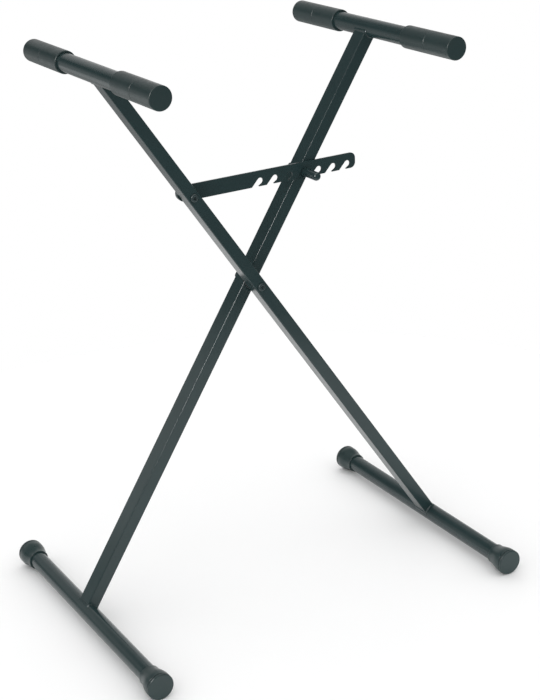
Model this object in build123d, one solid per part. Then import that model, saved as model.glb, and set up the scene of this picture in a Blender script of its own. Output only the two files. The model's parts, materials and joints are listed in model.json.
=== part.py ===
from build123d import *
import math
import os

# Folding single-brace X stand for a keyboard. Millimetres, +Z up, +X to the right, the front faces -Y.
# The origin is on the floor, midway between the four feet. The stand is modelled locked open.

# Overall stance
FOOT_SPREAD = 646.0       # between the axes of the two foot bars
TOP_SPREAD = 480.0        # between the axes of the two top bars
TOP_AXIS_Z = 879.0        # height of the top bars' axes
FOOT_LENGTH = 500.0       # over the rubber feet
TOP_LENGTH = 432.0        # over the rubber sleeves

# Round bars
BAR_R = 14.3
BAR_WALL = 1.2

# Crossing arms, rectangular tube
ARM_WIDTH = 20.0          # across the arm, in the plane of the X
ARM_DEPTH = 30.0          # along Y
ARM_WALL = 1.2
ARM_CORNER_R = 1.5
ARM_GAP = 5.0             # between the two arms, where the brace bar lies
WELD = 2.6                # leg of the weld round each arm end

# Rubber feet
FOOT_R = 21.3
FOOT_FLAT = 0.4           # how deep the worn flat under each foot is
CAP_LENGTH = 38.5
CAP_END = 4.0
CAP_EDGE_R = 1.8
CAP_RIM = 3.6             # from the outer end to the ring groove
CAP_GROOVE = 1.2          # depth and width of the ring groove
CAP_BARREL = 11.0         # from the outer end to where the foot starts to narrow
CAP_LIP_R = 16.9
CAP_LIP = 2.5             # straight length of the lip on the bar

# Rubber sleeves that carry the keyboard
SLEEVE_R = 17.5
SLEEVE_LENGTH = 122.0
SLEEVE_END = 3.0
SLEEVE_EDGE_R = 1.2
SLEEVE_SEAM = 0.4         # depth of the ring groove round a sleeve
SLEEVE_SEAM_AT = 0.49     # where the ring groove is, from the closed end

# M8 hardware
SHANK_R = 4.0
CLEAR_R = 4.2
RUN_R = 4.05              # running fit on the shank
CRUSH_R = 7.0             # outside of the tubes that keep the arms from crushing
HEX_FLATS = 13.0
HEX_LAND = 0.3            # from the flats in to the edge of the chamfered corners
HEX_CHAMFER = math.radians(30)
NUT_HEIGHT = 6.5
NUT_COLLAR = 1.5          # height of the nut's nylon collar
COLLAR_INSET = 0.4
TAIL = 1.5                # thread showing past a nut
SHANK_TIP = 0.8
WASHER_R = 9.0
WASHER_T = 1.6
WASHER_BREAK = 0.3
SIDE_PLAY = 0.2           # beside a part that turns
BUTTON_R = 6.5
BUTTON_H = 3.0
BUTTON_SKIRT = 0.6
SOCKET_FLATS = 5.0
SOCKET_DEPTH = 2.0
PIVOT_SPACER_R = 11.0

# Brace bar and its locking peg
BRACE_PIN = 195.6         # from the centre pivot to the brace bolt, along the front arm
BRACE_WIDTH = 25.0
BRACE_T = 3.0
BRACE_REACH = 306.3       # from the bolt to the free end
BRACE_END_R = 9.0
BRACE_WASHER_R = 12.0     # thick washer behind the brace bar
BRACE_WASHER_T = 5.0
INNER_WASHER_T = 0.8
NOTCHES = 7
PEG_NOTCH = 3             # index of the notch that holds the peg
NOTCH_PITCH = 26.6
NOTCH_R = 5.3
NOTCH_DROP = 4.2          # notch centre below the bar's middle line
NOTCH_MOUTH = 15.0        # lower left corner of the slot, left of the notch centre
NOTCH_HOOK = 3.5          # tip of the hook, left of the notch centre
NOTCH_OVERRUN = 1.0       # how far the slot's cutter reaches below the bar
HOOK_ANGLE = math.radians(48)  # where the hook's slope leaves the seat, below the horizontal
PEG_SEAT_GAP = 0.2        # left between the peg and its notch
PEG_SEAT_ANGLE = math.radians(25)  # where the peg lies nearest its notch, above the horizontal
PEG_HEAD_R = 6.9
PEG_HEAD_LENGTH = 39.0
PEG_NOSE_R = 5.0
PEG_BREAK = 0.5

# Worked out
FOOT_AXIS_Z = FOOT_R - FOOT_FLAT
RISE = TOP_AXIS_Z - FOOT_AXIS_Z
RUN = (FOOT_SPREAD + TOP_SPREAD) / 2
ARM_LENGTH = math.hypot(RUN, RISE)
LEAN = math.atan2(RUN, RISE)
PIVOT_ALONG = ARM_LENGTH * FOOT_SPREAD / (FOOT_SPREAD + TOP_SPREAD)
PIVOT_Z = FOOT_AXIS_Z + PIVOT_ALONG * math.cos(LEAN)
FRONT_Y = -ARM_GAP / 2 - ARM_DEPTH
REAR_Y = ARM_GAP / 2 + ARM_DEPTH
PIN_X = -BRACE_PIN * math.sin(LEAN)
PIN_Z = PIVOT_Z + BRACE_PIN * math.cos(LEAN)
SEAT_SHIFT = NOTCH_R - SHANK_R - PEG_SEAT_GAP
PEG_Z = PIN_Z - NOTCH_DROP + SEAT_SHIFT * math.sin(PEG_SEAT_ANGLE)
PEG_X = (PEG_Z - PIVOT_Z) * math.tan(LEAN)
NOTCH_0 = PEG_X - PIN_X - SEAT_SHIFT * math.cos(PEG_SEAT_ANGLE) - PEG_NOTCH * NOTCH_PITCH


def along_y(shape, x, z, y, heading=1):
    """Lay a shape built along its own +Z on the line (x, z), starting at y and heading along +Y or -Y."""
    return Plane(origin=(x, y, z), x_dir=(1, 0, 0), z_dir=(0, heading, 0)).location * shape


def rod(radius, y0, y1, x, z):
    """Solid round bar along Y."""
    return along_y(extrude(Circle(radius), y1 - y0), x, z, y0)


def ring(outer, inner, y0, y1, x, z):
    """Round tube along Y."""
    return along_y(extrude(Circle(outer) - Circle(inner), y1 - y0), x, z, y0)


def washer(outer, y0, y1, x, z):
    """Washer along Y with its outer edges broken."""
    body = extrude(Circle(outer) - Circle(CLEAR_R), y1 - y0)
    rims = body.edges().filter_by(GeomType.CIRCLE).filter_by(lambda e: abs(e.radius - outer) < 0.01)
    return along_y(chamfer(rims, WASHER_BREAK), x, z, y0)


def turned(*lines):
    """Solid of revolution about +Z from an outline in (radius, height)."""
    return revolve(Plane.XZ * make_face(Curve() + list(lines)), Axis.Z)


def hexagon(height):
    """Hexagonal prism with its corners chamfered at both ends."""
    corner = HEX_FLATS / math.sqrt(3)
    land = HEX_FLATS / 2 - HEX_LAND
    drop = (corner - land) * math.tan(HEX_CHAMFER)
    cone = turned(Polyline((0, 0), (land, 0), (corner, drop), (corner, height - drop), (land, height),
                           (0, height), (0, 0)))
    return extrude(RegularPolygon(corner, 6), height) & cone


def nut():
    """Lock nut with a round nylon collar, standing on z = 0."""
    collar = extrude(Circle(HEX_FLATS / 2 - COLLAR_INSET), NUT_COLLAR)
    collar = fillet(collar.edges().group_by(Axis.Z)[-1], NUT_COLLAR / 2)
    body = hexagon(NUT_HEIGHT) + Pos(0, 0, NUT_HEIGHT) * collar
    return body - extrude(Circle(SHANK_R), NUT_HEIGHT + NUT_COLLAR)


def shank(length):
    """Shank of a bolt, standing on z = 0, with a chamfered tip."""
    body = extrude(Circle(SHANK_R), length)
    return chamfer(body.edges().group_by(Axis.Z)[-1], SHANK_TIP)


def button_bolt(length):
    """Button-head bolt with a hexagon socket. The head lies below z = 0 and the shank above it."""
    head = Pos(0, 0, -BUTTON_H) * extrude(Circle(BUTTON_R), BUTTON_H)
    head = fillet(head.edges().group_by(Axis.Z)[0], BUTTON_H - BUTTON_SKIRT)
    socket = Pos(0, 0, -BUTTON_H) * extrude(RegularPolygon(SOCKET_FLATS / math.sqrt(3), 6), SOCKET_DEPTH)
    return head - socket + shank(length)


def leg_plane(side, y):
    """Plane at a leg's foot axis: its Z runs up the arm, its X across it. side is the foot's side in X."""
    across = (math.cos(LEAN), 0, side * math.sin(LEAN))
    up = (-side * math.sin(LEAN), 0, math.cos(LEAN))
    return Plane(origin=(side * FOOT_SPREAD / 2, y, FOOT_AXIS_Z), x_dir=across, z_dir=up)


def arm_tube(side, y, holes):
    """Rectangular arm, coped to both round bars, with a cross hole for each crush tube."""
    outer = RectangleRounded(ARM_WIDTH, ARM_DEPTH, ARM_CORNER_R)
    inner = RectangleRounded(ARM_WIDTH - 2 * ARM_WALL, ARM_DEPTH - 2 * ARM_WALL, ARM_CORNER_R - ARM_WALL)
    tube = leg_plane(side, y).location * extrude(outer - inner, ARM_LENGTH)
    for x, z in (side * FOOT_SPREAD / 2, FOOT_AXIS_Z), (-side * TOP_SPREAD / 2, TOP_AXIS_Z):
        tube -= rod(BAR_R, -FOOT_LENGTH / 2, FOOT_LENGTH / 2, x, z)
    for x, z in holes:
        tube -= rod(CRUSH_R, y - ARM_DEPTH, y + ARM_DEPTH, x, z)
    return tube


def weld(side, y, at_top):
    """Weld bead round the end of an arm, stepped from the bar's surface up the arm's walls."""
    x, z = (-side * TOP_SPREAD / 2, TOP_AXIS_Z) if at_top else (side * FOOT_SPREAD / 2, FOOT_AXIS_Z)
    base = leg_plane(side, y).location * (Pos(0, 0, ARM_LENGTH / 2 if at_top else 0))
    bead = None
    for leg, height in (WELD, WELD / 2), (WELD / 2, WELD):
        collar = RectangleRounded(ARM_WIDTH + 2 * leg, ARM_DEPTH + 2 * leg, ARM_CORNER_R + leg)
        collar -= RectangleRounded(ARM_WIDTH, ARM_DEPTH, ARM_CORNER_R)
        skin = ring(BAR_R + height, BAR_R, y - ARM_DEPTH, y + ARM_DEPTH, x, z)
        step = (base * extrude(collar, ARM_LENGTH / 2)) & skin
        bead = step if bead is None else bead + step
    return bead


def round_bar(x, z, length):
    """Round steel tube along Y, centred on y = 0."""
    return ring(BAR_R, BAR_R - BAR_WALL, -length / 2, length / 2, x, z)


def foot_cap(x, end):
    """Barrel-ended rubber foot that narrows to a lip on its bar, with a worn flat underneath."""
    groove_r = FOOT_R - CAP_GROOVE
    groove_end = CAP_RIM + CAP_GROOVE
    lip_z = CAP_LENGTH - CAP_LIP
    body = turned(
        Line((0, 0), (FOOT_R - CAP_EDGE_R, 0)),
        TangentArc((FOOT_R - CAP_EDGE_R, 0), (FOOT_R, CAP_EDGE_R), tangent=(1, 0)),
        Polyline((FOOT_R, CAP_EDGE_R), (FOOT_R, CAP_RIM), (groove_r, CAP_RIM), (groove_r, groove_end),
                 (FOOT_R, groove_end), (FOOT_R, CAP_BARREL)),
        Spline((FOOT_R, CAP_BARREL), (CAP_LIP_R, lip_z), tangents=((0, 1), (0, 1))),
        Polyline((CAP_LIP_R, lip_z), (CAP_LIP_R, CAP_LENGTH), (BAR_R, CAP_LENGTH), (BAR_R, CAP_END),
                 (0, CAP_END), (0, 0)))
    return split(along_y(body, x, FOOT_AXIS_Z, end * FOOT_LENGTH / 2, -end), Plane.XY, keep=Keep.TOP)


def sleeve(x, end):
    """Rubber sleeve over one end of a top bar: closed outer end, shallow ring groove part way along."""
    seam_z = SLEEVE_LENGTH * SLEEVE_SEAM_AT
    tube = turned(
        Polyline((0, 0), (SLEEVE_R, 0), (SLEEVE_R, seam_z), (SLEEVE_R - SLEEVE_SEAM, seam_z + SLEEVE_SEAM),
                 (SLEEVE_R, seam_z + 2 * SLEEVE_SEAM), (SLEEVE_R, SLEEVE_LENGTH), (BAR_R, SLEEVE_LENGTH),
                 (BAR_R, SLEEVE_END), (0, SLEEVE_END), (0, 0)))
    rims = tube.edges().filter_by(GeomType.CIRCLE).filter_by(lambda e: abs(e.radius - SLEEVE_R) < 0.01)
    tube = fillet([rims.sort_by(Axis.Z)[0], rims.sort_by(Axis.Z)[-1]], SLEEVE_EDGE_R)
    return along_y(tube, x, TOP_AXIS_Z, end * TOP_LENGTH / 2, -end)


def notch_cutter():
    """Outline of one hooked notch about its own centre: a round seat with a slot down to the lower left."""
    under = NOTCH_DROP - BRACE_WIDTH / 2
    reach = math.hypot(NOTCH_MOUTH, under)
    slope = math.atan2(-under, NOTCH_MOUTH) + math.asin(NOTCH_R / reach)
    touch = Vector(-NOTCH_R * math.sin(slope), NOTCH_R * math.cos(slope))
    hook = Vector(NOTCH_R * math.cos(HOOK_ANGLE), -NOTCH_R * math.sin(HOOK_ANGLE))
    hook_run = (hook.X + NOTCH_HOOK) / (hook.Y - under)
    slope_run = 1 / math.tan(slope)
    mouth = Vector(-NOTCH_MOUTH - slope_run * NOTCH_OVERRUN, under - NOTCH_OVERRUN)
    tip = Vector(-NOTCH_HOOK - hook_run * NOTCH_OVERRUN, under - NOTCH_OVERRUN)
    return Circle(NOTCH_R) + make_face(Polyline(touch, mouth, tip, hook, (0, 0), touch))


def brace_bar():
    """Flat bar that hooks on the locking peg: a row of notches underneath, hinged at its round end."""
    plate = Pos(BRACE_REACH / 2, 0) * Rectangle(BRACE_REACH, BRACE_WIDTH)
    plate = fillet(plate.vertices().group_by(Axis.X)[-1], BRACE_END_R) + Circle(BRACE_WIDTH / 2)
    for index in range(NOTCHES):
        plate -= Pos(NOTCH_0 + index * NOTCH_PITCH, -NOTCH_DROP) * notch_cutter()
    plate -= Circle(RUN_R)
    flat = extrude(Plane.XZ * plate, BRACE_T / 2, both=True)
    return Pos(PIN_X, 0, PIN_Z) * flat


def locking_peg():
    """Stud through the rear arm: a thick nose in front of the brace bar and a neck that the notch takes."""
    nose = extrude(Circle(PEG_HEAD_R), PEG_HEAD_LENGTH)
    nose = fillet(nose.edges().group_by(Axis.Z)[0], PEG_NOSE_R)
    nose = chamfer(nose.edges().group_by(Axis.Z)[-1], PEG_BREAK)
    nose_y = -BRACE_T / 2 - SIDE_PLAY - PEG_HEAD_LENGTH
    tail_y = REAR_Y + WASHER_T + NUT_HEIGHT + NUT_COLLAR + TAIL
    neck = Pos(0, 0, PEG_HEAD_LENGTH) * shank(tail_y - nose_y - PEG_HEAD_LENGTH)
    return along_y(nose + neck, PEG_X, PEG_Z, nose_y)


def crush_tube(inner, rear, x, z):
    """Steel tube across an arm, flush with both faces, that a bolt passes through."""
    y0 = REAR_Y - ARM_DEPTH if rear else FRONT_Y
    return ring(CRUSH_R, inner, y0, y0 + ARM_DEPTH, x, z)


def frame_nodes():
    """Tubes, welds and rubber of both legs. The rear leg's foot is on the left."""
    pivot = (0, PIVOT_Z)
    legs = (("rear", -1, ARM_GAP / 2 + ARM_DEPTH / 2, (pivot, (PEG_X, PEG_Z))),
            ("front", 1, -ARM_GAP / 2 - ARM_DEPTH / 2, (pivot, (PIN_X, PIN_Z))))
    sides = {-1: "left", 1: "right"}
    for leg, side, y, holes in legs:
        foot, top = sides[side], sides[-side]
        foot_x, top_x = side * FOOT_SPREAD / 2, -side * TOP_SPREAD / 2
        yield f"{leg}_arm", arm_tube(side, y, holes)
        yield f"{leg}_foot_weld", weld(side, y, False)
        yield f"{leg}_top_weld", weld(side, y, True)
        yield f"foot_bar_{foot}", round_bar(foot_x, FOOT_AXIS_Z, FOOT_LENGTH - 2 * CAP_END)
        yield f"top_bar_{top}", round_bar(top_x, TOP_AXIS_Z, TOP_LENGTH - 2 * SLEEVE_END)
        for end, name in (-1, "front"), (1, "rear"):
            yield f"foot_cap_{foot}_{name}", foot_cap(foot_x, end)
            yield f"sleeve_{top}_{name}", sleeve(top_x, end)


def pivot_nodes():
    """Centre pivot: a bolt held by the rear leg, on which the front leg's bush turns."""
    head_y = FRONT_Y - SIDE_PLAY
    nut_y = REAR_Y + WASHER_T
    tail_y = nut_y + NUT_HEIGHT + NUT_COLLAR + TAIL
    yield "pivot_bolt", along_y(button_bolt(tail_y - head_y), 0, PIVOT_Z, head_y)
    yield "pivot_bush", crush_tube(RUN_R, False, 0, PIVOT_Z)
    yield "pivot_spacer", washer(PIVOT_SPACER_R, SIDE_PLAY - ARM_GAP / 2, ARM_GAP / 2, 0, PIVOT_Z)
    yield "pivot_crush_tube", crush_tube(CLEAR_R, True, 0, PIVOT_Z)
    yield "pivot_washer_rear", washer(WASHER_R, REAR_Y, nut_y, 0, PIVOT_Z)
    yield "pivot_nut", along_y(nut(), 0, PIVOT_Z, nut_y)


def brace_nodes():
    """Brace bar and the bolt that hinges it on the front arm."""
    back_y = BRACE_T / 2 + SIDE_PLAY
    nut_y = back_y + BRACE_WASHER_T
    tail_y = nut_y + NUT_HEIGHT + NUT_COLLAR + TAIL
    inner_y = -ARM_GAP / 2
    yield "brace_bar", brace_bar()
    yield "brace_bolt", along_y(button_bolt(tail_y - FRONT_Y), PIN_X, PIN_Z, FRONT_Y)
    yield "brace_crush_tube", crush_tube(CLEAR_R, False, PIN_X, PIN_Z)
    yield "brace_washer_inner", washer(WASHER_R, inner_y, inner_y + INNER_WASHER_T, PIN_X, PIN_Z)
    yield "brace_washer_rear", washer(BRACE_WASHER_R, back_y, nut_y, PIN_X, PIN_Z)
    yield "brace_nut", along_y(nut(), PIN_X, PIN_Z, nut_y)


def peg_nodes():
    """Locking peg, bolted through the rear arm."""
    nut_y = REAR_Y + WASHER_T
    yield "locking_peg", locking_peg()
    yield "peg_crush_tube", crush_tube(CLEAR_R, True, PEG_X, PEG_Z)
    yield "peg_washer", washer(WASHER_R, REAR_Y, nut_y, PEG_X, PEG_Z)
    yield "peg_nut", along_y(nut(), PEG_X, PEG_Z, nut_y)


os.makedirs("parts", exist_ok=True)
for group in frame_nodes, pivot_nodes, brace_nodes, peg_nodes:
    for node, solid in group():
        export_step(solid, f"parts/{node}.step")
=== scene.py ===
import json
import math

import bmesh
import bpy
from mathutils import Matrix, Quaternion, Vector
from mathutils.geometry import tessellate_polygon


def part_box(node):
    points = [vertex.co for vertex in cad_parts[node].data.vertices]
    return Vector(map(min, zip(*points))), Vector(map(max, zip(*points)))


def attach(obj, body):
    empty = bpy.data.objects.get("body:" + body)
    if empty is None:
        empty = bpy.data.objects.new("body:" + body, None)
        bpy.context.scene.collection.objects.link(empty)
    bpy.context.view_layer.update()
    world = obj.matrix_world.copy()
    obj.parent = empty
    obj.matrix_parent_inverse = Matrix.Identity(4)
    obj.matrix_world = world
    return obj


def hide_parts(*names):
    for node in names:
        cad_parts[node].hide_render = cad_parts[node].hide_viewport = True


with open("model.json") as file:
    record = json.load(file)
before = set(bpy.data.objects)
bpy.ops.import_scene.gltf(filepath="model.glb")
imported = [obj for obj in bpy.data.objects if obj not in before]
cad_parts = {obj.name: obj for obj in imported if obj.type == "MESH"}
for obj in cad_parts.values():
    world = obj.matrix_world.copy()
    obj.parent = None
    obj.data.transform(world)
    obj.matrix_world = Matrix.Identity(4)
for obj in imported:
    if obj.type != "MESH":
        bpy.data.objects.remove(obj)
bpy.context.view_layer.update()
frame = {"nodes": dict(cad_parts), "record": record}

# ------------------------------------------------------------------ sizes, in metres

MM = 0.001
TURN = 96                   # segments round a turned piece; a multiple of twelve, for the hexagons
ARC = 8                     # segments in a rounded corner
CRISP = 32                  # degrees; edges that turn more than this stay sharp in shading
JOIN = 0.001 * MM           # points closer than this are one

WALL = 1.2 * MM             # wall of every steel tube
CUT_EDGE = 0.3 * MM         # rounding of a cut steel edge

ARM_WIDTH = 20 * MM         # across the arm, in the plane of the X
ARM_CORNER = 1.5 * MM       # outer corner radius of the rectangular arms
FLAT_STEP = 2 * MM          # division of the arms' flats where they follow a round bar
COPE_BITE = 0.3 * MM        # how far an arm's end reaches into its round bar
BEAD_WIDTH = 1.9 * MM       # weld bead on the round bar
BEAD_HEIGHT = 1.8 * MM      # weld bead up the arm
BEAD_CROWN = 0.30 * MM      # how far the bead bulges
BEAD_RIPPLE = 0.18 * MM     # height of the ripples on it
BEAD_SINK = 0.08 * MM       # how far the bead's edges lie under the paint of the tubes
BEAD_RIPPLES = 62           # round one arm end
BEAD_STEPS = 8              # across the bead
RIPPLE_STEPS = 6            # along the bead, to one ripple
RIPPLE_BOW = 0.325          # how far a ripple bows at the bead's edges, in ripples
# how the bead swells round the arm: share, number of waves, phase, phase added at the top end
BEAD_SWELLS = ((0.07, 3, 1.1, 1.0), (0.05, 7, 0.4, 2.0))

CAP_EDGE = 1.8 * MM         # rounding of a foot's outer end
CAP_RIM = 3.6 * MM          # from a foot's outer end to its ring groove
CAP_GROOVE = 1.2 * MM       # width and depth of the ring groove
CAP_BARREL = 11 * MM        # from the outer end to where the foot starts to narrow
CAP_LIP_R = 16.9 * MM
CAP_LIP = 2.5 * MM          # straight part at the lip
CAP_END = 4 * MM            # thickness of the closed end

SLEEVE_EDGE = 1.2 * MM      # rounding of a sleeve's ends
SLEEVE_END = 3 * MM         # thickness of the closed end
SLEEVE_SEAM = 0.4 * MM      # depth of the V-shaped ring groove, and half its width
SLEEVE_SEAM_AT = 0.49       # of the length, from the closed end

SHANK_R = 4 * MM            # M8 bolts
THREAD_PITCH = 1.25 * MM
THREAD_DEPTH = 0.6 * MM
THREAD_SHOWN = 2.6 * MM     # threaded end that is modelled, from the tip
THREAD_ROWS = 6             # rings of points to one turn of thread
TIP = 0.8 * MM              # chamfer of a bolt's end
BORE_R = 4.2 * MM           # bore of a washer
CRUSH_R = 7 * MM            # tubes across the arms, round the bolts
HEX_FLATS = 13 * MM
HEX_LAND = 0.3 * MM         # from the flats to the chamfer's inner edge
HEX_BREAK = 0.985           # corners of a hexagon are cut to this part of their radius
HEX_CHAMFER = math.radians(30)
NUT_HEIGHT = 6.5 * MM       # from the seat to the nylon collar
BUTTON_HEAD = 3 * MM
BUTTON_SKIRT = 0.6 * MM     # straight edge under a button head's dome
SOCKET_FLATS = 5 * MM
SOCKET_DEPTH = 2 * MM
SOCKET_BREAK = 0.25 * MM    # bevel at the socket's mouth, and dip of its bottom
PEG_NOSE = 39 * MM          # length of the peg's thick nose
PEG_NOSE_EDGE = 5 * MM      # rounding of the nose's end

BRACE_BEVEL = 0.4 * MM      # rounding of the brace bar's edges
BRACE_END_R = 9 * MM
BRACE_HOLE_R = 4.05 * MM
NOTCHES = 7
PEG_NOTCH = 3               # index of the notch that holds the peg
NOTCH_PITCH = 26.6 * MM
NOTCH_R = 5.3 * MM
NOTCH_DROP = 4.2 * MM       # notch centre below the bar's middle line
NOTCH_MOUTH = 15 * MM       # left corner of the slot, left of the notch centre
NOTCH_HOOK = 3.5 * MM       # tip of the hook, left of the notch centre
HOOK_ANGLE = math.radians(48)       # where the hook's slope leaves the seat, below the horizontal
PEG_SEAT_GAP = 0.2 * MM     # between the peg's neck and its notch
PEG_SEAT_ANGLE = math.radians(25)   # where the neck lies nearest its notch, above the horizontal
MOUTH_ROUND = 0.9 * MM      # at the slot's left corner
TIP_ROUND = 0.45 * MM       # at the hook's tip


def middle(node):
    """Middle of a CAD node's box."""
    low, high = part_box(node)
    return (low + high) / 2


def half_size(node):
    """Half the size of a CAD node's box on each axis."""
    low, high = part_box(node)
    return (high - low) / 2


BAR_R = half_size("foot_bar_left").x
SLEEVE_R = half_size("sleeve_left_front").x
CAP_R = half_size("foot_cap_left_front").x
PIVOT = middle("pivot_bolt")
PIN = middle("brace_bolt")
PEG = middle("locking_peg")
PEG_R = half_size("locking_peg").x
FLOOR_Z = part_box("foot_cap_left_front")[0].z


# ------------------------------------------------------------------ materials

CLOUD = 60 * MM             # size of the slow drift in a coating's colour
CLOUD_SHARE = 0.14          # how far the colour drifts either way
GLOSS_PATCH = 18 * MM       # size of the patches of differing gloss
GLOSS_NOISE = (0.3, 0.7)    # noise at the lowest and at the highest roughness
WEAR_REACH = 1.2 * MM       # how far wear reaches from an edge
WEAR_TURN = (0.995, 0.93)   # cosine of the edge's turn where wear starts and where it is full
WEAR_PATCH = 6 * MM
WEAR_NOISE = (0.5, 0.62)    # noise where a worn patch starts and where it is full
DUST_PATCH = 25 * MM
DUST_SLOPE = 0.2            # upward part of the normal where dust starts to lie
DUST_COLOUR = (0.30, 0.30, 0.28, 1.0)


def new_material(name):
    """An empty node material with one Principled shader. Returns it, its node tree and the shader."""
    material = bpy.data.materials.new(name)
    material.use_nodes = True
    tree = material.node_tree
    tree.nodes.clear()
    output = tree.nodes.new("ShaderNodeOutputMaterial")
    shader = tree.nodes.new("ShaderNodeBsdfPrincipled")
    tree.links.new(shader.outputs["BSDF"], output.inputs["Surface"])
    return material, tree, shader


def node(tree, kind, inputs=(), **settings):
    """A new node with its settings, and its inputs given as numbers or as the sockets to link."""
    made = tree.nodes.new("ShaderNode" + kind)
    for name, value in settings.items():
        setattr(made, name, value)
    for name, value in dict(inputs).items():
        if isinstance(value, bpy.types.NodeSocket):
            tree.links.new(value, made.inputs[name])
        else:
            made.inputs[name].default_value = value
    return made


def noise(tree, place, size, detail=2.0, roughness=0.5):
    """Fractal noise with features of about that size in metres."""
    made = node(tree, "TexNoise", {"Vector": place, "Scale": 1 / size, "Detail": detail,
                                   "Roughness": roughness})
    return made.outputs["Fac"]


def remap(tree, value, low, high, to_low, to_high):
    """The value moved from one range to another, and held at the ends."""
    made = node(tree, "MapRange", {"Value": value, "From Min": low, "From Max": high,
                                   "To Min": to_low, "To Max": to_high})
    return made.outputs["Result"]


def times(tree, first, second):
    """Product of two values."""
    return node(tree, "Math", {0: first, 1: second}, operation="MULTIPLY").outputs["Value"]


def mix_colour(tree, amount, first, second):
    """The first colour at amount nought, the second at one."""
    made = node(tree, "Mix", {"Factor": amount, "A": first, "B": second}, data_type="RGBA")
    return made.outputs["Result"]


def edge_mask(tree, place):
    """One along worn outer edges, zero on open faces, broken up by noise."""
    bevel = node(tree, "Bevel", {"Radius": WEAR_REACH}, samples=4)
    flat = node(tree, "NewGeometry").outputs["Normal"]
    turn = node(tree, "VectorMath", {0: bevel.outputs["Normal"], 1: flat}, operation="DOT_PRODUCT")
    edge = remap(tree, turn.outputs["Value"], *WEAR_TURN, 0.0, 1.0)
    patches = remap(tree, noise(tree, place, WEAR_PATCH, detail=4.0), *WEAR_NOISE, 0.0, 1.0)
    return times(tree, edge, patches)


def dust_mask(tree, place):
    """Patchy dust on what faces up in the part's own frame."""
    normal = node(tree, "TexCoord").outputs["Normal"]
    up = node(tree, "SeparateXYZ", {"Vector": normal}).outputs["Z"]
    lying = remap(tree, up, DUST_SLOPE, 1.0, 0.0, 1.0)
    return times(tree, lying, noise(tree, place, DUST_PATCH, detail=5.0, roughness=0.6))


def bumped(tree, height, distance, under=None):
    """Normal of a bump of that height in metres, on top of another bump's normal if one is given."""
    inputs = {"Height": height, "Distance": distance, "Strength": 1.0}
    if under:
        inputs["Normal"] = under
    return node(tree, "Bump", inputs).outputs["Normal"]


def coating(name, colour, worn, roughness, peel, grain, wear, dust, metallic=0.0):
    """Powder coat, rubber or blackened steel: a dark colour with orange peel, fine grain, burnished edges
    and dust. peel and grain give the size and height of their bumps, roughness its lowest and highest."""
    material, tree, shader = new_material(name)
    place = node(tree, "TexCoord").outputs["Object"]
    dark, light = ((*(c * k for c in colour), 1.0) for k in (1 - CLOUD_SHARE, 1 + CLOUD_SHARE))
    base = mix_colour(tree, noise(tree, place, CLOUD, detail=3.0), dark, light)
    base = mix_colour(tree, times(tree, dust_mask(tree, place), dust), base, DUST_COLOUR)
    base = mix_colour(tree, times(tree, edge_mask(tree, place), wear), base, (*worn, 1.0))
    tree.links.new(base, shader.inputs["Base Color"])
    gloss = noise(tree, place, GLOSS_PATCH, detail=6.0, roughness=0.65)
    tree.links.new(remap(tree, gloss, *GLOSS_NOISE, *roughness), shader.inputs["Roughness"])
    normal = bumped(tree, noise(tree, place, peel[0]), peel[1])
    normal = bumped(tree, noise(tree, place, grain[0]), grain[1], normal)
    tree.links.new(normal, shader.inputs["Normal"])
    shader.inputs["Metallic"].default_value = metallic
    return material


SLOT_MATERIALS = {
    "black_paint": coating("black_powder_coat", (0.0160, 0.0332, 0.0348), worn=(0.07, 0.085, 0.09),
                           roughness=(0.20, 0.27), peel=(2.4 * MM, 0.010 * MM),
                           grain=(0.5 * MM, 0.0015 * MM), wear=0.20, dust=0.02),
    "rubber_sleeve": coating("sleeve_rubber", (0.0150, 0.0335, 0.0345), worn=(0.05, 0.06, 0.06),
                             roughness=(0.32, 0.42), peel=(1.6 * MM, 0.008 * MM),
                             grain=(0.35 * MM, 0.006 * MM), wear=0.5, dust=0.03),
    "rubber_foot": coating("foot_rubber", (0.0160, 0.0345, 0.0355), worn=(0.05, 0.06, 0.06),
                           roughness=(0.26, 0.36), peel=(1.6 * MM, 0.010 * MM),
                           grain=(0.35 * MM, 0.010 * MM), wear=0.6, dust=0.05),
    "nylon": coating("black_nylon", (0.018, 0.026, 0.027), worn=(0.05, 0.055, 0.055),
                     roughness=(0.40, 0.50), peel=(1.2 * MM, 0.004 * MM),
                     grain=(0.2 * MM, 0.002 * MM), wear=0.3, dust=0.02),
    "dark_hardware": coating("blackened_steel", (0.022, 0.040, 0.042), worn=(0.16, 0.17, 0.17),
                             roughness=(0.34, 0.44), peel=(1.6 * MM, 0.002 * MM),
                             grain=(0.15 * MM, 0.001 * MM), wear=0.25, dust=0.02, metallic=0.15)}

# ------------------------------------------------------------------ meshes

BODY_OF = {name: body for body, names in frame["record"]["behaviour"]["bodies"].items()
           for name in names}
SLOT_OF = {part["node"]: part["material_slot"] for part in frame["record"]["subparts"]}


def closed_mesh(name, points, faces):
    """Mesh from points and faces, with doubled points joined and every face turned outward."""
    work = bmesh.new()
    made = [work.verts.new(p) for p in points]
    for face in faces:
        work.faces.new([made[i] for i in face])
    bmesh.ops.remove_doubles(work, verts=work.verts, dist=JOIN)
    bmesh.ops.recalc_face_normals(work, faces=work.faces)
    mesh = bpy.data.meshes.new(name)
    work.to_mesh(mesh)
    work.free()
    return mesh


def shown(name, data):
    """A new object in the scene with that mesh, light or camera."""
    made = bpy.data.objects.new(name, data)
    bpy.context.scene.collection.objects.link(made)
    return made


def piece(name, cad_node, points, faces, sharp=CRISP):
    """A finished mesh that stands for a CAD node, on its body and with its material."""
    made = shown(name, closed_mesh(name, points, faces))
    finish_surface(made, sharp)
    made.data.materials.append(SLOT_MATERIALS[SLOT_OF[cad_node]])
    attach(made, BODY_OF[cad_node])
    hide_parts(cad_node)
    return made


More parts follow.
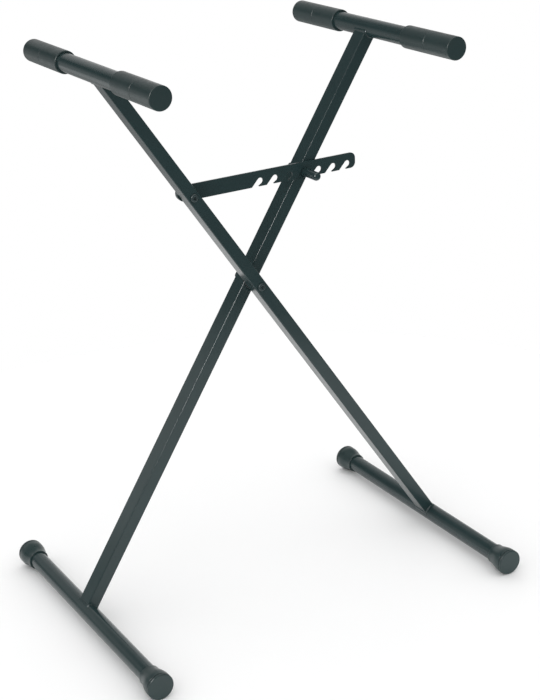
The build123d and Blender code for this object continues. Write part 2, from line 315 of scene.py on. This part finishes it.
def finish_surface(made, sharp):
    """Smooth shading that keeps edges over that many degrees crisp and flats flat."""
    made.data.shade_smooth()
    made.data.set_sharp_from_angle(angle=math.radians(sharp))
    made.modifiers.new("normals", "WEIGHTED_NORMAL").keep_sharp = True


def skin(rows, closed=False):
    """Faces between rings of equal length, given as rows of point numbers. closed joins last to first."""
    faces = []
    for a, b in list(zip(rows, rows[1:])) + ([(rows[-1], rows[0])] if closed else []):
        for i in range(len(a)):
            j = (i + 1) % len(a)
            faces.append((a[i], a[j], b[j], b[i]))
    return faces


def numbered(rings):
    """The points of all rings in one list, and each ring as a row of point numbers."""
    points, rows = [], []
    for ring in rings:
        rows.append(list(range(len(points), len(points) + len(ring))))
        points += ring
    return points, rows


def value(given, angle):
    """A number as it is, or a function's value at that angle."""
    return given(angle) if callable(given) else given


def turned(outline, x, z, hollow=False):
    """Body turned about a line along Y. An outline point is (y, radius), and either may depend on the
    angle. A solid's outline starts and ends on the axis; a hollow body's outline is a closed loop."""
    angles = [2 * math.pi * i / TURN for i in range(TURN)]
    rings = [[(x + value(radius, a) * math.sin(a), value(y, a), z + value(radius, a) * math.cos(a))
              for a in angles] for y, radius in (outline if hollow else outline[1:-1])]
    points, rows = numbered(rings)
    faces = skin(rows, closed=hollow)
    if not hollow:
        for (y, _), row in ((outline[0], rows[0]), (outline[-1], rows[-1])):
            faces += [(len(points), row[i - 1], row[i]) for i in range(TURN)]
            points.append((x, y, z))
    return points, faces


def rounded(corners, closed=True, steps=ARC):
    """Outline through corners (x, y, radius), each turned into an arc of its radius."""
    outline = []
    for i, (x, y, radius) in enumerate(corners):
        here = Vector((x, y))
        if not radius or (not closed and i in (0, len(corners) - 1)):
            outline.append(here)
            continue
        before = (Vector(corners[i - 1][:2]) - here).normalized()
        after = (Vector(corners[(i + 1) % len(corners)][:2]) - here).normalized()
        half = before.angle(after) / 2
        centre = here + (before + after).normalized() * radius / math.sin(half)
        start = here + before * radius / math.tan(half) - centre
        bend = (math.pi - 2 * half) * (1 if before.x * after.y - before.y * after.x < 0 else -1)
        outline += [centre + rotated(start, bend * k / steps) for k in range(steps + 1)]
    return outline


def rotated(arrow, angle):
    """The arrow turned anticlockwise."""
    c, s = math.cos(angle), math.sin(angle)
    return Vector((c * arrow.x - s * arrow.y, s * arrow.x + c * arrow.y))


def arc(cx, cy, radius, start, stop, steps):
    """Points of an arc from one angle to another, with both ends."""
    angles = [start + (stop - start) * k / steps for k in range(steps + 1)]
    return [Vector((cx + radius * math.cos(a), cy + radius * math.sin(a))) for a in angles]


# ------------------------------------------------------------------ round bars, sleeves and feet


def round_bar(name):
    """Steel tube with broken edges, open at both ends inside its rubber."""
    low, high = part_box(name)
    loop = rounded([(low.y, BAR_R, CUT_EDGE), (high.y, BAR_R, CUT_EDGE),
                    (high.y, BAR_R - WALL, CUT_EDGE), (low.y, BAR_R - WALL, CUT_EDGE)], steps=3)
    piece(name + "_tube", name, *turned(loop, middle(name).x, middle(name).z, hollow=True))


def from_end(name, outline):
    """An outline in (distance from the outer end, radius) as (y, radius) for the rubber of that name."""
    low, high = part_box(name)
    end, inward = (low.y, 1) if middle(name).y < 0 else (high.y, -1)
    return [(end + inward * along, radius) for along, radius in outline]


def sleeve(name):
    """Closed rubber sleeve with rounded ends and a fine ring groove."""
    length = 2 * half_size(name).y
    seam = SLEEVE_SEAM_AT * length
    fine = SLEEVE_SEAM / 8
    shell = rounded([
        (0, 0, 0), (0, SLEEVE_R, SLEEVE_EDGE), (seam, SLEEVE_R, fine),
        (seam + SLEEVE_SEAM, SLEEVE_R - SLEEVE_SEAM, fine), (seam + 2 * SLEEVE_SEAM, SLEEVE_R, fine),
        (length, SLEEVE_R, SLEEVE_EDGE), (length, BAR_R, CUT_EDGE), (SLEEVE_END, BAR_R, CUT_EDGE),
        (SLEEVE_END, 0, 0)], closed=False)
    piece(name + "_rubber", name, *turned(from_end(name, shell), middle(name).x, middle(name).z))


def taper(length, steps=18):
    """Narrowing of a foot from its barrel to its lip: a smooth step, level at both ends."""
    end = length - CAP_LIP
    outline = []
    for k in range(steps + 1):
        t = k / steps
        rest = 2 * t ** 3 - 3 * t ** 2 + 1
        outline.append((CAP_BARREL + (end - CAP_BARREL) * t, CAP_LIP_R + (CAP_R - CAP_LIP_R) * rest, 0))
    return outline


def foot_cap(name):
    """Barrel-ended rubber foot with a ring groove, narrowing to a lip, pressed flat where it stands."""
    length = 2 * half_size(name).y
    fine = CAP_GROOVE / 4
    shell = rounded([
        (0, 0, 0), (0, CAP_R, CAP_EDGE), (CAP_RIM, CAP_R, 2 * fine), (CAP_RIM, CAP_R - CAP_GROOVE, fine),
        (CAP_RIM + CAP_GROOVE, CAP_R - CAP_GROOVE, fine), (CAP_RIM + CAP_GROOVE, CAP_R, 2 * fine),
        *taper(length), (length, CAP_LIP_R, 3 * fine), (length, BAR_R, CUT_EDGE), (CAP_END, BAR_R, CUT_EDGE),
        (CAP_END, 0, 0)], closed=False)
    axis_z = middle("foot_bar_left").z
    points, faces = turned(from_end(name, shell), middle(name).x, axis_z)
    piece(name + "_rubber", name, [(x, y, max(z, FLOOR_Z)) for x, y, z in points], faces)


for side in "left", "right":
    round_bar("foot_bar_" + side)
    round_bar("top_bar_" + side)
    for end in "front", "rear":
        foot_cap(f"foot_cap_{side}_{end}")
        sleeve(f"sleeve_{side}_{end}")

# ------------------------------------------------------------------ arms and their welds


class Arm:
    """Where one arm runs: from the axis of its foot bar up to the axis of its top bar."""

    def __init__(self, leg, foot_bar, top_bar):
        foot, top = middle(foot_bar), middle(top_bar)
        run = Vector((top.x - foot.x, 0, top.z - foot.z))
        self.leg = leg
        self.node = leg + "_arm"
        self.base = Vector((foot.x, middle(self.node).y, foot.z))
        self.length = run.length
        self.up = run.normalized()
        self.across = Vector((self.up.z, 0, -self.up.x))
        self.half_depth = half_size(self.node).y

    def at(self, u, v, radius, top):
        """Point at u across and v along Y, where the arm meets a cylinder of that radius about its bar."""
        along = math.sqrt(radius ** 2 - u ** 2)
        along = self.length - along if top else along
        return self.base + self.across * u + Vector((0, v, 0)) + self.up * along

    def outline(self, inset):
        """The tube's section as (u, v) points, with its flats divided."""
        u, v, corner = ARM_WIDTH / 2 - inset, self.half_depth - inset, ARM_CORNER - inset
        turns = rounded([(-u, -v, corner), (u, -v, corner), (u, v, corner), (-u, v, corner)])
        section = []
        for here, after in zip(turns, turns[1:] + turns[:1]):
            parts = max(1, round((after - here).length / FLAT_STEP))
            section += [here.lerp(after, k / parts) for k in range(parts)]
        return section


def coped_arm(arm, holes):
    """Rectangular tube, coped to both round bars, with a cross hole for each bolt."""
    rings = [[arm.at(u, v, BAR_R - COPE_BITE, top) for u, v in arm.outline(inset)]
             for inset, top in ((0, False), (0, True), (WALL, True), (WALL, False))]
    points, rows = numbered(rings)
    made = piece(arm.node + "_tube", arm.node, points, skin(rows, closed=True))
    drill(made, holes, 2 * arm.half_depth)


def drill(made, holes, reach):
    """Cut a round hole along Y through the piece at each (x, z)."""
    y = sum(v.co.y for v in made.data.vertices) / len(made.data.vertices)
    cutters = []
    for x, z in holes:
        plug = turned([(y - reach, 0), (y - reach, CRUSH_R), (y + reach, CRUSH_R), (y + reach, 0)], x, z)
        cutters.append(shown("cutter", closed_mesh("cutter", *plug)))
        made.modifiers.new("hole", "BOOLEAN").object = cutters[-1]
    made.modifiers.remove(made.modifiers["normals"])
    cut = bpy.data.meshes.new_from_object(made.evaluated_get(bpy.context.evaluated_depsgraph_get()))
    made.modifiers.clear()
    made.data = cut
    finish_surface(made, CRISP)
    for cutter in cutters:
        bpy.data.objects.remove(cutter)


def walk(outline, count):
    """Evenly spaced points round a closed anticlockwise outline, each with the direction that points out."""
    spans = [(a, b - a) for a, b in zip(outline, outline[1:] + outline[:1])]
    step = sum(span.length for _, span in spans) / count
    passed, i, made = 0.0, 0, []
    for k in range(count):
        while passed + spans[i][1].length < k * step:
            passed += spans[i][1].length
            i += 1
        start, span = spans[i]
        along = span.normalized()
        made.append((start + along * (k * step - passed), Vector((along.y, -along.x))))
    return made


def weld_bead(arm, top):
    """Rippled bead round the end of an arm, lying on the round bar and up the arm's walls."""
    rings = []
    count = BEAD_RIPPLES * RIPPLE_STEPS
    for k, (here, out) in enumerate(walk(arm.outline(0), count)):
        turn = 2 * math.pi * k / count
        swell = 1 + sum(share * math.sin(waves * turn + phase + added * top)
                        for share, waves, phase, added in BEAD_SWELLS)
        ring = []
        for q in range(BEAD_STEPS + 1):
            t = q / BEAD_STEPS
            scallop = abs(math.sin(BEAD_RIPPLES * turn / 2 + RIPPLE_BOW * (2 * t - 1) ** 2 * math.pi))
            crown = (BEAD_CROWN + BEAD_RIPPLE * scallop) * math.sin(math.pi * t)
            wide = BEAD_WIDTH * swell * (1 - t) - BEAD_SINK * t + crown
            high = BEAD_HEIGHT * swell * t - BEAD_SINK * (1 - t) + crown
            spot = here + out * wide
            ring.append(arm.at(spot.x, spot.y, BAR_R + high, top))
        spot = here - out * COPE_BITE
        ring.append(arm.at(spot.x, spot.y, BAR_R - COPE_BITE, top))
        rings.append(ring)
    points, rows = numbered(rings)
    end = "top" if top else "foot"
    piece(f"{arm.leg}_{end}_weld_bead", f"{arm.leg}_{end}_weld", points, skin(rows, closed=True), sharp=60)


for arm, holes in ((Arm("rear", "foot_bar_left", "top_bar_right"), (PIVOT, PEG)),
                   (Arm("front", "foot_bar_right", "top_bar_left"), (PIVOT, PIN))):
    coped_arm(arm, [(hole.x, hole.z) for hole in holes])
    weld_bead(arm, False)
    weld_bead(arm, True)

# ------------------------------------------------------------------ brace bar


def brace_outline(right, half):
    """Side view of the brace bar about its pin, anticlockwise: notched lower edge, square end, round heel."""
    under = NOTCH_DROP - half
    slope = math.atan2(-under, NOTCH_MOUTH) + math.asin(NOTCH_R / math.hypot(NOTCH_MOUTH, under))
    shift = (NOTCH_R - SHANK_R - PEG_SEAT_GAP) * math.cos(PEG_SEAT_ANGLE)
    first = PEG.x - PIN.x - shift - PEG_NOTCH * NOTCH_PITCH
    corners = []
    for index in range(NOTCHES):
        x = first + index * NOTCH_PITCH
        seat = arc(x, -NOTCH_DROP, NOTCH_R, slope + math.pi / 2, -HOOK_ANGLE, 20)
        corners += [(x - NOTCH_MOUTH, -half, MOUTH_ROUND), *((p.x, p.y, 0) for p in seat),
                    (x - NOTCH_HOOK, -half, TIP_ROUND)]
    corners += [(right, -half, BRACE_END_R), (right, half, BRACE_END_R)]
    heel = arc(0, 0, half, math.pi / 2, 3 * math.pi / 2, 32)
    return rounded(corners + [(p.x, p.y, 0) for p in heel])


def moved_in(outline, distance):
    """The closed anticlockwise outline moved inward, by no more than twice the distance at a corner."""
    moved = []
    for before, here, after in zip(outline[-1:] + outline[:-1], outline, outline[1:] + outline[:1]):
        a, b = (here - before).normalized(), (after - here).normalized()
        inward = Vector((-a.y - b.y, a.x + b.x)).normalized()
        moved.append(here + inward * distance / max(0.5, inward.dot(Vector((-a.y, a.x)))))
    return moved


def brace_bar():
    """Flat bar with hooked notches and a pin hole, all its edges softly rounded."""
    low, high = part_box("brace_bar")
    outer = brace_outline(high.x - PIN.x, half_size("brace_bar").z)
    soft = BRACE_BEVEL * (1 - math.sqrt(0.5))
    rims = [(BRACE_BEVEL, 0), (soft, soft), (0, BRACE_BEVEL)]
    rims = ([(inset, low.y + depth) for inset, depth in rims]
            + [(inset, high.y - depth) for inset, depth in rims[::-1]])

    def placed(outline, y):
        return [Vector((PIN.x + p.x, y, PIN.z + p.y)) for p in outline]

    sides = [placed(moved_in(outer, inset), y) for inset, y in rims]
    hole = [placed(arc(0, 0, BRACE_HOLE_R + inset, 0, 2 * math.pi, 48)[:-1], y) for inset, y in rims]
    points, rows = numbered(sides + hole)
    outer_rows, hole_rows = rows[:len(rims)], rows[len(rims):]
    faces = skin(outer_rows) + skin(hole_rows)
    for k in 0, -1:
        numbers = outer_rows[k] + hole_rows[k]
        faces += [tuple(numbers[i] for i in corner) for corner in tessellate_polygon([sides[k], hole[k]])]
    piece("brace_bar_plate", "brace_bar", points, faces)


brace_bar()

# ------------------------------------------------------------------ bolts, nuts, washers and the peg


def hexagon(flats):
    """Radius of a hexagon at an angle, with its corners just broken."""
    def radius(angle):
        off_flat = (angle + math.pi / 6) % (math.pi / 3) - math.pi / 6
        return min(flats / 2 / math.cos(off_flat), HEX_BREAK * flats / math.sqrt(3))
    return radius


def chamfered(height, heading):
    """Height of a hexagon's chamfer at an angle, below an end face at that height."""
    def level(angle):
        drop = (hexagon(HEX_FLATS)(angle) - HEX_FLATS / 2 + HEX_LAND) * math.tan(HEX_CHAMFER)
        return height - heading * drop
    return level


def threaded_end(start, end):
    """Outline of a threaded bolt end along +Y, from its plain shank to the axis at its tip."""
    def crest(y):
        def radius(angle):
            turn = (y / THREAD_PITCH + angle / (2 * math.pi)) % 1
            cone = SHANK_R - max(0.0, y - (end - TIP))
            return min(SHANK_R - THREAD_DEPTH * abs(2 * turn - 1), cone)
        return radius
    rows = round(THREAD_SHOWN / THREAD_PITCH * THREAD_ROWS)
    levels = [end - THREAD_SHOWN * (1 - k / rows) for k in range(rows + 1)]
    return [(start, SHANK_R), (levels[0] - CUT_EDGE, SHANK_R)] + [(y, crest(y)) for y in levels] + [(end, 0)]


def button_head(seat, radius):
    """Outline of a domed head with a hexagon socket, from the axis to the shank."""
    face = seat - BUTTON_HEAD
    socket = hexagon(SOCKET_FLATS)
    mouth = SOCKET_FLATS / math.sqrt(3) + SOCKET_BREAK
    bottom = face + SOCKET_DEPTH
    dome = rounded([(face, mouth, 0), (face, radius, BUTTON_HEAD - BUTTON_SKIRT), (seat, radius, CUT_EDGE),
                    (seat, SHANK_R, 0)], closed=False, steps=12)
    hollow = [(bottom + SOCKET_BREAK, 0), (bottom, socket), (face + SOCKET_BREAK, socket)]
    return hollow + [tuple(p) for p in dome]


def bolt(name):
    """Button-head bolt along +Y, its head in front."""
    low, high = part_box(name)
    seat = low.y + BUTTON_HEAD
    outline = button_head(seat, half_size(name).x) + threaded_end(seat + CUT_EDGE, high.y)
    piece(name + "_button", name, *turned(outline, middle(name).x, middle(name).z))


def lock_nut(name, cad_node):
    """Hexagon nut with a round nylon collar, seated towards the front."""
    low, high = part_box(cad_node)
    shoulder = low.y + NUT_HEIGHT
    wide, land = hexagon(HEX_FLATS), HEX_FLATS / 2 - HEX_LAND
    collar = rounded([(shoulder, land - CUT_EDGE, 0), (high.y, land - CUT_EDGE, 2 * CUT_EDGE),
                      (high.y, SHANK_R + CUT_EDGE, 2 * CUT_EDGE), (high.y - 2 * CUT_EDGE, SHANK_R, 0)],
                     closed=False, steps=4)
    loop = [(low.y, SHANK_R), (low.y, land), (chamfered(low.y, -1), wide), (chamfered(shoulder, 1), wide),
            (shoulder, land)] + [tuple(p) for p in collar]
    piece(name, cad_node, *turned(loop, middle(cad_node).x, middle(cad_node).z, hollow=True))


def washer(name):
    """Flat ring with softly broken edges."""
    low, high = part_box(name)
    outer, edge = half_size(name).x, min(CUT_EDGE, (high.y - low.y) / 3)
    loop = rounded([(low.y, outer, edge), (high.y, outer, edge),
                    (high.y, BORE_R, edge), (low.y, BORE_R, edge)], steps=4)
    piece(name + "_ring", name, *turned(loop, middle(name).x, middle(name).z, hollow=True))


def locking_peg():
    """Stud with a thick round nose in front of the brace bar."""
    low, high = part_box("locking_peg")
    shoulder = low.y + PEG_NOSE
    nose = rounded([(low.y, 0, 0), (low.y, PEG_R, PEG_NOSE_EDGE), (shoulder, PEG_R, CUT_EDGE),
                    (shoulder, SHANK_R, 0)], closed=False, steps=12)
    outline = [tuple(p) for p in nose] + threaded_end(shoulder + CUT_EDGE, high.y)
    piece("locking_peg_stud", "locking_peg", *turned(outline, PEG.x, PEG.z))


bolt("pivot_bolt")
bolt("brace_bolt")
locking_peg()
for place in "pivot", "brace", "peg":
    lock_nut(place + "_lock_nut", place + "_nut")
for ring in "pivot_washer_rear", "pivot_spacer", "brace_washer_inner", "brace_washer_rear", "peg_washer":
    washer(ring)

# ------------------------------------------------------------------ stage, light and camera

FLOOR_RADIUS = 1.1
FLOOR_DROP = 0.5 * MM       # floor below the feet, so that the two don't lie in one plane
FLOOR_MOTTLE = 0.4          # size of the drift in the floor's grey
FLOOR_GREYS = (0.89, 0.91)
FLOOR_GRAIN = 20 * MM       # size of the patches of differing gloss
FLOOR_ROUGHNESS = (0.55, 0.7)

DOME = 1.18                 # strength of the even white that diffuse rays meet
BACKDROP = 1.0              # strength of the white that the camera sees
# what mirrored rays meet: their direction's Z and Y, remapped to strengths that are multiplied
GLOW_BY_HEIGHT = (0.0, 0.22, 0.42, 0.03)    # bright at the horizon, dim above it
GLOW_BY_SIDE = (-0.2, 0.4, 0.15, 1.0)       # full behind the stand, weak in front of it

CAMERA_AT = Vector((-1.1399, -2.0729, 1.3378))
YAW, PITCH, ROLL = 0.51309, 0.37899, -0.0473    # turned right from +Y, tilted down, right side dropped
LENS = 81.8                 # focal length in mm


def pale_floor():
    """Round floor just under the feet, its grey and its gloss faintly mottled."""
    mesh = bpy.data.meshes.new("floor")
    rim = arc(0, 0, FLOOR_RADIUS, 0, 2 * math.pi, 128)[:-1]
    mesh.from_pydata([(p.x, p.y, FLOOR_Z - FLOOR_DROP) for p in rim], [], [tuple(range(len(rim)))])
    material, tree, shader = new_material("pale_floor")
    place = node(tree, "TexCoord").outputs["Object"]
    darker, lighter = ((grey, grey, grey, 1) for grey in FLOOR_GREYS)
    mottle = mix_colour(tree, noise(tree, place, FLOOR_MOTTLE, detail=4.0), darker, lighter)
    tree.links.new(mottle, shader.inputs["Base Color"])
    gloss = noise(tree, place, FLOOR_GRAIN, detail=4.0)
    tree.links.new(remap(tree, gloss, 0, 1, *FLOOR_ROUGHNESS), shader.inputs["Roughness"])
    mesh.materials.append(material)
    floor = shown("floor", mesh)


def area_light(name, place, aim, width, height, radiance, roll=0.0):
    """Soft box at place, facing aim and rolled about that line, with a given radiance over its face.
    It shows only in mirror reflections."""
    data = bpy.data.lights.new(name, "AREA")
    data.shape, data.size, data.size_y = "RECTANGLE", width, height
    data.energy = radiance * math.pi * width * height
    light = shown(name, data)
    light.location = place
    light.visible_camera = False
    light.visible_diffuse = False
    facing = (Vector(aim) - Vector(place)).to_track_quat("-Z", "Y")
    light.rotation_euler = (facing @ Quaternion((0, 0, 1), roll)).to_euler()


def studio_world():
    """White for the camera, an even dome for diffuse rays and a glow for mirrored ones."""
    world = bpy.data.worlds.new("studio")
    bpy.context.scene.world = world
    world.use_nodes = True
    sky = world.node_tree
    sky.nodes.clear()

    def white(strength):
        return node(sky, "Background", {"Color": (1, 1, 1, 1), "Strength": strength}).outputs["Background"]

    way = node(sky, "SeparateXYZ", {"Vector": node(sky, "TexCoord").outputs["Generated"]}).outputs
    glow = times(sky, remap(sky, way["Z"], *GLOW_BY_HEIGHT), remap(sky, way["Y"], *GLOW_BY_SIDE))
    ray = node(sky, "LightPath").outputs
    unseen = node(sky, "MixShader", {0: ray["Is Diffuse Ray"], 1: white(glow), 2: white(DOME)})
    seen = node(sky, "MixShader", {0: ray["Is Camera Ray"], 1: unseen.outputs["Shader"], 2: white(BACKDROP)})
    node(sky, "OutputWorld", {"Surface": seen.outputs["Shader"]})
    world.cycles.sampling_method = "NONE"


def photo_camera():
    """Camera at the photograph's place, looking along its yaw, pitch and roll."""
    data = bpy.data.cameras.new("camera")
    data.lens = LENS
    camera = shown("camera", data)
    bpy.context.scene.camera = camera
    forward = Vector((math.sin(YAW) * math.cos(PITCH), math.cos(YAW) * math.cos(PITCH), -math.sin(PITCH)))
    level = Vector((math.cos(YAW), -math.sin(YAW), 0))
    upright = level.cross(forward)
    right = math.cos(ROLL) * level + math.sin(ROLL) * upright
    up = math.cos(ROLL) * upright - math.sin(ROLL) * level
    turn = Matrix((right, up, -forward)).transposed()
    camera.matrix_world = Matrix.Translation(CAMERA_AT) @ turn.to_4x4()
    bpy.context.scene.view_settings.view_transform = "Standard"


pale_floor()
area_light("overhead", place=(0, -0.4, 2.8), aim=(0, -0.4, 0), width=4.0, height=2.4, radiance=1.6)
area_light("back", place=(1.1, 3.5, 2.28), aim=(1.1, 0, 2.28), width=3.4, height=2.4, radiance=0.62,
           roll=math.radians(-35))
area_light("back_right", place=(2.6, 3.0, 1.0), aim=(0, 0, 0.7), width=2.4, height=1.9, radiance=0.65)
area_light("near_left", place=(-0.78, 0.85, 0.47), aim=(-0.78, 0, 0.47), width=0.7, height=0.46,
           radiance=0.5)
area_light("corner_glint", place=(-1.9, -1.5, 1.6), aim=(0, 0, 0.7), width=1.2, height=0.9, radiance=20)
studio_world()
photo_camera()

# CAD nodes that no piece replaces get the look of their slot
for name, cad in frame["nodes"].items():
    if not cad.hide_render:
        cad.data.materials.clear()
        cad.data.materials.append(SLOT_MATERIALS[SLOT_OF[name]])
